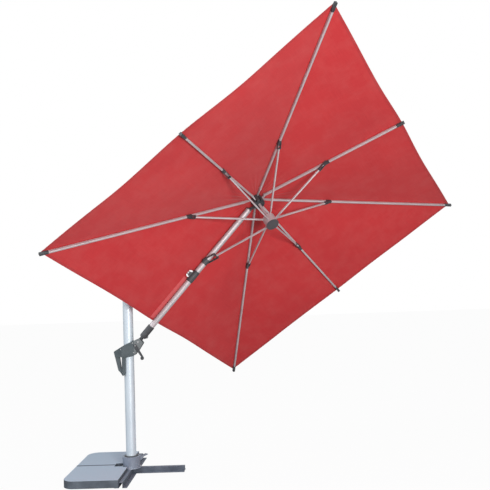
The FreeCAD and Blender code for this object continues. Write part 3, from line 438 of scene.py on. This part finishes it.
# %% [markdown]
# ## Ribs and struts: two finishes on one node
# A rib's node holds its tube and its fittings as separate solids. The mesh is loose triangles, so
# the solids are found by joining triangles that share a corner's place. The longest solid of each
# node is the tube. The casting nearest a hub wears the tube's silver paint. The other fittings are
# dark plastic: the fork at a strut's outer end, and the clamp and the tip cap of a rib.

# %% Find the solids of a node and paint them apart


def solid_numbers(mesh):
    """The number of the solid that each triangle belongs to."""
    corner = {}
    owner = list(range(len(mesh.polygons)))

    def root(i):
        while owner[i] != i:
            owner[i] = owner[owner[i]]
            i = owner[i]
        return i

    for face in mesh.polygons:
        for index in face.vertices:
            key = tuple(round(c, 6) for c in mesh.vertices[index].co)
            first = corner.setdefault(key, face.index)
            owner[root(face.index)] = root(first)
    return [root(i) for i in range(len(mesh.polygons))]


def paint_fittings(node, tube, fitting, hinge):
    """hinge is the point of the hub end, whose casting wears the tube's paint."""
    mesh = nodes[node].data
    numbers = solid_numbers(mesh)
    reach = {}
    for face in mesh.polygons:
        low, high = reach.setdefault(numbers[face.index], (face.center.copy(), face.center.copy()))
        reach[numbers[face.index]] = (
            Vector(map(min, low, face.center)), Vector(map(max, high, face.center)))
    length = {number: (high - low).length for number, (low, high) in reach.items()}
    nearest = min(length, key=lambda n: ((reach[n][0] + reach[n][1]) / 2 - hinge).length)
    silver = {max(length, key=length.get), nearest}
    mesh.materials.clear()
    for finish_used in (tube, fitting):
        mesh.materials.append(finish_used)
    for face in mesh.polygons:
        number = numbers[face.index]
        face.material_index = 0 if number in silver else 1
    return len(reach)


for k in range(8):
    for kind in ("rib", "strut"):
        if "%s_%d" % (kind, k) in nodes:
            hub_end = place("rib_fold_%d" % k) if kind == "rib" else place("lower_hub_fold")
            found = paint_fittings("%s_%d" % (kind, k), silver_tube_painted_pink_reflection, charcoal, hub_end)
print("solids in the last strut", found)

# %% [markdown]
# ## The cloth's finish
# Solution-dyed polyester is matt, saturated and a little uneven: yarns vary, the weave catches
# light, and the coating has a faint sheen at a grazing angle. The map named "cut" holds the flat
# cut in metres, so the weave follows the cloth when it folds.

# %% Cloth materials


STITCH_ROW = 0.0042       # middle of the tape to a row of stitches
STITCH_HALF = 0.0005      # half a thread


def cloth_finish(name, deep, bright, stitches=False):
    """Coated woven cloth between two tones; a tape shows its two rows of stitches."""
    material = bpy.data.materials.new(name)
    material.use_nodes = True
    tree = material.node_tree
    link = tree.links.new
    shader = tree.nodes["Principled BSDF"]
    weave = add(tree, "ShaderNodeGroup", node_tree=WEAVE)
    weathering_and_top_light = add(tree, "ShaderNodeGroup", node_tree=WEATHER_AND_TOP_LIGHT)
    weathering_and_top_light.inputs["Dust"].default_value = 0.10
    weathering_and_top_light.inputs["Rub"].default_value = 0.0
    coord = add(tree, "ShaderNodeTexCoord")
    cloud = add(tree, "ShaderNodeTexNoise", Scale=1.3, Detail=3.0)
    link(coord.outputs["Object"], cloud.inputs["Vector"])
    drift = spread(tree, cloud.outputs["Fac"], 0.35, 0.65)
    yarn = spread(tree, weave.outputs["Yarn"], 0.38, 0.62)
    slow = math_node(tree, "MULTIPLY", drift, 0.45)
    tone = math_node(tree, "ADD", slow, math_node(tree, "MULTIPLY", yarn, 0.55))
    colour = mix_colour(tree, tone, deep + (1,), bright + (1,))
    colour = mix_colour(tree, weathering_and_top_light.outputs["Dust"], colour, (0.55, 0.22, 0.20, 1))
    if stitches:
        uv = add(tree, "ShaderNodeUVMap", uv_map="cut")
        split = add(tree, "ShaderNodeSeparateXYZ")
        link(uv.outputs["UV"], split.inputs["Vector"])
        dash = math_node(tree, "GREATER_THAN", math_node(tree, "SINE", math_node(
            tree, "MULTIPLY", split.outputs["X"], 1100.0)), -0.2)
        side = math_node(tree, "ABSOLUTE", split.outputs["Y"])
        off_row = math_node(tree, "ABSOLUTE", math_node(tree, "SUBTRACT", side, STITCH_ROW))
        row = math_node(tree, "LESS_THAN", off_row, STITCH_HALF)
        colour = mix_colour(tree, math_node(tree, "MULTIPLY", dash, row), colour, (0.30, 0.05, 0.06, 1))
    link(colour, shader.inputs["Base Color"])
    shader.inputs["Roughness"].default_value = 0.78
    shader.inputs["Sheen Weight"].default_value = 0.25
    shader.inputs["Sheen Roughness"].default_value = 0.45
    shader.inputs["Specular IOR Level"].default_value = 0.3
    bumps = add(tree, "ShaderNodeBump", Strength=0.25, Distance=0.0003)
    link(weave.outputs["Height"], bumps.inputs["Height"])
    link(bumps.outputs["Normal"], shader.inputs["Normal"])
    return material


red_cloth = cloth_finish("red_polyester", (0.455, 0.026, 0.031), (0.545, 0.036, 0.040))
red_seam = cloth_finish("red_seam_tape", (0.385, 0.024, 0.029), (0.475, 0.034, 0.038), stitches=True)
# The flap's brighter red is painted light: the flap is drawn lighter than the panels, as though it catches
# more light.
red_flap_painted_light = cloth_finish("red_flap_painted_light", (0.560, 0.085, 0.095), (0.680, 0.115, 0.120), stitches=True)

# %% [markdown]
# ## Shape of the stretched cloth
# The cloth is pulled from the hub to eight tips, so it is a pyramid with slack between its ribs:
# it sags a little there, its edges draw inwards, and it puckers near the hub and the corners. The
# shape is written as one function of direction and distance. A cloth simulation would give the
# same taut form with less control of what lies over the ribs, so it isn't used here.

# %% The cloth's height and edge

SECTOR = math.pi / 4
EDGE_DRAW = 0.016         # how far the edge draws in between two tips
SAG = 0.016               # how far the cloth hangs between two ribs
CROWN_R = 0.10            # where the panels start, under the crown patch


def between_ribs(angle):
    """0 over a rib, 1 half way to the next one."""
    share = (angle - math.pi) / SECTOR
    return math.sin(math.pi * (share - math.floor(share))) ** 2


def edge_radius(angle):
    straight = HALF_SPAN / max(abs(math.cos(angle)), abs(math.sin(angle)))
    return straight - EDGE_DRAW * between_ribs(angle)


def cloth_up(out, across):
    """Height of the cloth over the hub's plane at a point of the plan."""
    radius = math.hypot(out, across)
    angle = math.atan2(across, out)
    slack = between_ribs(angle)
    share = radius / edge_radius(angle)
    flat = CLOTH_OVER - DROP * max(abs(out), abs(across)) / HALF_SPAN
    hang = SAG * slack * share * (1.35 - share) * 1.9
    roll = noise.noise(Vector((out * 2.1, across * 2.1, 3.7))) * 0.006 * slack * share
    pucker_hub = 0.0022 * math.sin(angle * 40) * slack * math.exp(-((radius - 0.22) / 0.16) ** 2)
    tip = max(0.0, 1 - (edge_radius(angle) - radius) / 0.45)
    lateral = radius * math.sin((angle - math.pi + SECTOR / 2) % SECTOR - SECTOR / 2)
    beside_rib = min(1.0, abs(lateral) / 0.02) * math.exp(-abs(lateral) / 0.14)
    pucker_tip = 0.0016 * math.sin(lateral * 130) * tip * beside_rib
    return flat - hang + roll + pucker_hub + pucker_tip


def cloth_spot(out, across, lift=0.0):
    return spot(out, across, cloth_up(out, across) + lift)


print("cloth at the middle", round(cloth_up(0.0, 0.0), 4), "at a tip", round(cloth_up(HALF_SPAN, 0.0), 4))

# %% [markdown]
# ## Sewing a sheet
# A grid from `create_grid` is bent into each panel by moving its points. The map "cut" is written
# from the flat plan. Solidify then gives the cloth its thickness, upwards, so that its underside
# keeps its distance from the ribs.

# %% Bend a grid into a sheet of cloth

CLOTH_T = 0.0012


def sheet_from_grid(name, body, material, rows, columns, shape, cut, thickness=CLOTH_T):
    """shape and cut take (s, t) from 0 to 1 and give a frame point and a flat point in metres."""
    bm = bmesh.new()
    bmesh.ops.create_grid(bm, x_segments=rows, y_segments=columns, size=0.5)
    layer = bm.loops.layers.uv.new("cut")
    for face in bm.faces:
        for loop in face.loops:
            loop[layer].uv = cut(loop.vert.co.x + 0.5, loop.vert.co.y + 0.5)
    for vert in bm.verts:
        vert.co = shape(vert.co.x + 0.5, vert.co.y + 0.5)
    bm.normal_update()
    facing = sum((f.normal.dot(up_axis) for f in bm.faces))
    if facing < 0:
        bmesh.ops.reverse_faces(bm, faces=bm.faces[:])
    for edge in bm.edges:
        edge.smooth = not edge.is_boundary
    area = sum(f.calc_area() for f in bm.faces)
    piece = keep_mesh(bm, name, body, material)
    wall = piece.modifiers.new("cloth thickness", "SOLIDIFY")
    wall.thickness = thickness
    wall.offset = 1.0
    return piece, area


def follow_fold(piece):
    """Give the piece its own copy of its mesh."""
    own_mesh(piece)


def carrier(k):
    return "rib_%d" % k if k else "boom"

# %% [markdown]
# ## The panels
# Each rib carries the cloth half way to its neighbours, so that nothing tears when the ribs swing
# down: the panel stays with its rib. Open, the panels meet edge to edge and read as one stretched
# sheet. The panel over the boom is slit, because the support arm comes through the cloth there to
# hold the boom.

# %% Panels over ribs

PANEL_ROWS = 96
PANEL_COLUMNS = 40


def panel_plan(k, s, t, first=-1.0, last=1.0):
    angle = azimuth(k) + (first + (last - first) * t) * SECTOR / 2
    reach = CROWN_R + (edge_radius(angle) - CROWN_R) * s
    return reach * math.cos(angle), reach * math.sin(angle)


for k in range(1, 8):
    panel, panel_area = sheet_from_grid(
        "cloth_panel_%d" % k, carrier(k), red_cloth, PANEL_ROWS, PANEL_COLUMNS,
        lambda s, t: cloth_spot(*panel_plan(k, s, t)),
        lambda s, t: panel_plan(k, s, t))
    follow_fold(panel)
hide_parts("canopy")

# %% [markdown]
# ## The slit panel
# The two halves over the boom part in a lens round the boom's bracket, and lie edge to edge
# elsewhere. A flap sewn along one edge closes the slit from the rim inwards.

# %% Halves over the boom

LENS_HALF = 0.066
LENS_REACH = 0.050
LENS_OUT = 0.942          # where the bracket passes the cloth


def slit_half(out):
    """Half the opening at a distance from the hub along the boom."""
    away = abs(-out - LENS_OUT) / LENS_REACH
    lens = LENS_HALF * (1 - away ** 4) ** 0.8 if away < 1 else 0.0
    return 0.0015 + lens


def slit_plan(side, s, t):
    out, across = panel_plan(0, s, 0.5 + side * t / 2)
    wide = abs(out) * math.tan(SECTOR / 2)
    opening = min(slit_half(out), wide * 0.9)
    share = abs(across) / wide
    return out, math.copysign(opening + share * (wide - opening), -side)


for side, label in ((1, "near"), (-1, "far")):
    half, half_area = sheet_from_grid(
        "cloth_slit_%s" % label, "boom", red_cloth, PANEL_ROWS * 2, PANEL_COLUMNS // 2,
        lambda s, t: cloth_spot(*slit_plan(side, s, t)),
        lambda s, t: slit_plan(side, s, t))
    follow_fold(half)

# %% [markdown]
# ## Seams, hems, flap and crown
# Narrow strips lie on the cloth: a felled seam over every rib, a hem along the rim, a flap beside
# the slit and a round crown patch under the cap. They are sheets too, lifted a little off the
# panel that carries them, and their tape shows two rows of stitches.

# %% Seams over the ribs


def strip(name, k, material, points, width, rows, lift, thickness=0.0008):
    """A narrow sheet along a line in the plan; points(s) gives (out, across)."""
    def plan(s, t):
        here = Vector(points(s))
        ahead = Vector(points(min(1.0, s + 0.01)))
        behind = Vector(points(max(0.0, s - 0.01)))
        run = (ahead - behind).normalized()
        offset = (t - 0.5) * width
        return here.x - run.y * offset, here.y + run.x * offset

    stops = [Vector(points(i / rows)) for i in range(rows + 1)]
    length = sum((after - before).length for before, after in zip(stops, stops[1:]))
    piece, area = sheet_from_grid(
        name, carrier(k), material, rows, 4,
        lambda s, t: cloth_spot(*plan(s, t), lift=lift),
        lambda s, t: (s * length, (t - 0.5) * width), thickness=thickness)
    follow_fold(piece)
    return piece


def spoke_point(k, radius, aside=0.0):
    angle = azimuth(k)
    return (radius * math.cos(angle) - aside * math.sin(angle),
            radius * math.sin(angle) + aside * math.cos(angle))


SEAM_W = 0.014
for k in range(1, 8):
    rim = edge_radius(azimuth(k)) - 0.012
    strip("seam_%d" % k, k, red_seam, lambda s: spoke_point(k, 0.12 + (rim - 0.12) * s), SEAM_W, 90,
          CLOTH_T + 0.0002)

# %% Hems along the rim

HEM_W = 0.022


def hem_point(k, s, first, last):
    angle = azimuth(k) + (first + (last - first) * s) * SECTOR / 2
    reach = edge_radius(angle) - HEM_W * 0.5 / max(abs(math.cos(angle)), abs(math.sin(angle)))
    return reach * math.cos(angle), reach * math.sin(angle)


for k in range(8):
    for first, last, label in ((-1.0, -0.004, "a"), (0.004, 1.0, "b")):
        strip("hem_%d%s" % (k, label), k, red_seam, lambda s: hem_point(k, s, first, last), HEM_W, 40,
              CLOTH_T + 0.0001)
        strip("hem_under_%d%s" % (k, label), k, red_seam, lambda s: hem_point(k, s, first, last), HEM_W, 40,
              -0.0011)

# %% Corner patches and the slit's flap

PATCH_LONG = {1: 0.17, 0: 0.12}        # a corner's patch, then a middle rib's
PATCH_WIDE = {1: 0.11, 0: 0.075}

for k in range(1, 8):
    wide = PATCH_WIDE[k % 2]

    def patch_plan(s, t):
        angle = azimuth(k)
        rim = HALF_SPAN / max(abs(math.cos(angle)), abs(math.sin(angle)))
        radius = rim - 0.004 - PATCH_LONG[k % 2] * (1 - s)
        flare = (rim - radius if k % 2 else wide * 0.5) * (0.96 if k % 2 else 1.0)
        flare = min(flare, wide)
        return spoke_point(k, radius, (t * 2 - 1) * max(flare, 0.004))

    patch, patch_area = sheet_from_grid(
        "tip_patch_%d" % k, carrier(k), red_seam, 16, 12,
        lambda s, t: cloth_spot(*patch_plan(s, t), lift=CLOTH_T + 0.0012),
        lambda s, t: patch_plan(s, t), thickness=0.0008)
    follow_fold(patch)

rim = edge_radius(azimuth(0))
lens_end = LENS_OUT + LENS_REACH
lens_start = LENS_OUT - LENS_REACH
# The flap wears the brighter red, which is painted light.
strip("slit_flap", 0, red_flap_painted_light, lambda s: (-(lens_end + (rim - 0.02 - lens_end) * s), -0.028),
      0.075, 40, -0.0022)
strip("slit_seam", 0, red_seam, lambda s: (-(0.16 + (lens_start - 0.16) * s), -0.004),
      0.016, 60, -0.0014)


def lens_edge_point(side, s):
    out = -(LENS_OUT - LENS_REACH * 0.985 * math.cos(math.pi * s))
    return out, side * (slit_half(out) + 0.0055)


for side in (1, -1):
    strip("lens_edge_%s" % ("near" if side < 0 else "far"), 0, red_seam,
          lambda s: lens_edge_point(side, s), 0.012, 48, -0.0012)
print("strips laid")

# %% [markdown]
# ## Covers of the lens
# Two flaps close the lens over the boom. One is sewn to each long edge, and they meet the bracket
# where it stands. The narrow one only fills its corners.

# %% Lens flaps

BRACKET_HALF = 0.027      # half the bracket's length along the boom, where it passes the cloth
FLAP_STOP = {-1: -0.057, 1: 0.003}     # where each flap ends beside the bracket
FLAP_MEET = -0.026        # where the two flaps meet past the bracket


def flap_plan(side, s, t):
    """s runs along the lens, t from its edge inwards."""
    out = -(LENS_OUT - LENS_REACH * 0.97 * math.cos(math.pi * s))
    edge = side * (slit_half(out) + 0.004)
    near = max(0.0, 1 - max(0.0, abs(-out - LENS_OUT) - BRACKET_HALF) / 0.012)
    inner = FLAP_STOP[side] * near + FLAP_MEET * (1 - near)
    inner = max(min(inner, slit_half(out)), -slit_half(out))
    return out, edge + (inner - edge) * t


for side, label in ((1, "wide"), (-1, "narrow")):
    flap, flap_area = sheet_from_grid(
        "lens_flap_%s" % label, "boom", red_cloth, 72, 12,
        lambda s, t: cloth_spot(*flap_plan(side, s, t), lift=CLOTH_T + 0.0006),
        lambda s, t: flap_plan(side, s, t))
    edge_point = cloth_spot(-LENS_OUT, side * (LENS_HALF + 0.004))
    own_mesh(flap)
print("lens flaps sewn")

# %% Crown patch under the cap

CROWN_HOLE = 0.016        # the hole that the cap's stem passes
CROWN_EDGE = 0.15
CROWN_RINGS = 12
bm = bmesh.new()
bmesh.ops.create_circle(bm, cap_ends=False, radius=CROWN_HOLE, segments=72)
for ring_number in range(CROWN_RINGS):
    rim_edges = [e for e in bm.edges if e.is_boundary or e.is_wire]
    outer = max((v.co.to_2d().length for v in bm.verts))
    outer_edges = [e for e in rim_edges
                   if all(abs(v.co.to_2d().length - outer) < 1e-5 for v in e.verts)]
    grown = bmesh.ops.extrude_edge_only(bm, edges=outer_edges)
    new_verts = [g for g in grown["geom"] if isinstance(g, bmesh.types.BMVert)]
    wider = (CROWN_HOLE + (CROWN_EDGE - CROWN_HOLE) * (ring_number + 1) / CROWN_RINGS) / outer
    bmesh.ops.scale(bm, vec=(wider, wider, 1), verts=new_verts)
layer = bm.loops.layers.uv.new("cut")
for face in bm.faces:
    for loop in face.loops:
        loop[layer].uv = loop.vert.co.to_2d()
for vert in bm.verts:
    vert.co = cloth_spot(vert.co.x, vert.co.y, lift=CLOTH_T + 0.0011)
bm.normal_update()
if sum(f.normal.dot(up_axis) for f in bm.faces) < 0:
    bmesh.ops.reverse_faces(bm, faces=bm.faces[:])
crown_area = sum(f.calc_area() for f in bm.faces)
crown = keep_mesh(bm, "crown_patch", "hub", red_cloth)
crown_wall = crown.modifiers.new("cloth thickness", "SOLIDIFY")
crown_wall.thickness = CLOTH_T
crown_wall.offset = 1.0
print("crown", round(crown_area, 4), "m2")

# %% [markdown]
# ## Camera
# The eye stands a little above the housing, level with the handle, and looks slightly upwards,
# with a small lean.

# %% Camera

camera = bpy.data.objects.new("camera", bpy.data.cameras.new("camera"))
bpy.context.scene.collection.objects.link(camera)
bpy.context.scene.camera = camera
camera.location = (1.3082, -6.4713, 1.7525)
camera.data.lens = 48.868
camera.data.sensor_width = 36.0
YAW, PITCH, LEAN = math.radians(1.285), math.radians(3.428), math.radians(2.031)
turn = Quaternion((0, 0, 1), YAW) @ Quaternion((1, 0, 0), math.pi / 2 + PITCH) @ Quaternion((0, 0, 1), -LEAN)
camera.rotation_mode = "QUATERNION"
camera.rotation_quaternion = turn
camera.data.clip_end = 200.0
print("camera looks", [round(x, 4) for x in turn @ Vector((0, 0, -1))])

# %% [markdown]
# ## Floor, world and lamps
# The floor and the world show white to the camera. The light on the object stays at a plain
# level: a weak even world, one lamp low at the front right that shines up under the canopy, and a
# broad one high at the left that lights the mast and the tops of the slabs.

# %% Stage and light


def white_to_camera(tree, lit, share):
    """Mix a lit shader with plain white, by a share that only the camera sees."""
    path = add(tree, "ShaderNodeLightPath")
    white = add(tree, "ShaderNodeEmission", Color=(1, 1, 1, 1), Strength=1.0)
    mixer = add(tree, "ShaderNodeMixShader")
    amount = math_node(tree, "MULTIPLY", path.outputs["Is Camera Ray"], share)
    tree.links.new(amount, mixer.inputs[0])
    tree.links.new(lit, mixer.inputs[1])
    tree.links.new(white.outputs[0], mixer.inputs[2])
    return mixer.outputs[0]


bm = bmesh.new()
bmesh.ops.create_grid(bm, x_segments=2, y_segments=2, size=30.0)
floor_mesh = bpy.data.meshes.new("floor")
bm.to_mesh(floor_mesh)
bm.free()
floor = bpy.data.objects.new("floor", floor_mesh)
bpy.context.scene.collection.objects.link(floor)
floor_finish = bpy.data.materials.new("pale_floor")
floor_finish.use_nodes = True
floor_tree = floor_finish.node_tree
floor_shader = floor_tree.nodes["Principled BSDF"]
floor_shader.inputs["Base Color"].default_value = (0.50, 0.50, 0.50, 1)
floor_shader.inputs["Roughness"].default_value = 0.9
floor_tree.links.new(white_to_camera(floor_tree, floor_shader.outputs[0], 0.965),
                     floor_tree.nodes["Material Output"].inputs["Surface"])
floor.data.materials.append(floor_finish)

world = bpy.data.worlds.new("studio")
bpy.context.scene.world = world
world.use_nodes = True
sky_tree = world.node_tree
sky = sky_tree.nodes["Background"]
sky.inputs["Color"].default_value = (0.93, 0.96, 1.0, 1)
sky.inputs["Strength"].default_value = 0.32
sky_path = add(sky_tree, "ShaderNodeLightPath")
sky_white = add(sky_tree, "ShaderNodeBackground", Color=(1, 1, 1, 1), Strength=1.0)
sky_mix = add(sky_tree, "ShaderNodeMixShader")
shown = math_node(sky_tree, "MAXIMUM", sky_path.outputs["Is Camera Ray"], sky_path.outputs["Is Glossy Ray"])
sky_tree.links.new(shown, sky_mix.inputs[0])
sky_tree.links.new(sky.outputs[0], sky_mix.inputs[1])
sky_tree.links.new(sky_white.outputs[0], sky_mix.inputs[2])
sky_tree.links.new(sky_mix.outputs[0], sky_tree.nodes["World Output"].inputs["Surface"])


def soft_lamp(name, energy, size, position, target, colour=(1, 1, 1)):
    lamp = bpy.data.objects.new(name, bpy.data.lights.new(name, "AREA"))
    lamp.data.energy = energy
    lamp.data.size = size
    lamp.data.color = colour
    lamp.location = position
    lamp.rotation_mode = "QUATERNION"
    lamp.rotation_quaternion = (Vector(target) - Vector(position)).to_track_quat("-Z", "Y")
    bpy.context.scene.collection.objects.link(lamp)


soft_lamp("lamp_front_low", 430.0, 2.0, (3.6, -7.0, 1.9), (1.3, 0.0, 2.4), (1.0, 0.97, 0.94))
soft_lamp("lamp_left_high", 330.0, 4.0, (-5.0, -4.0, 6.5), (0.2, 0.0, 0.9), (0.93, 0.96, 1.0))
bpy.context.scene.view_settings.view_transform = "Standard"
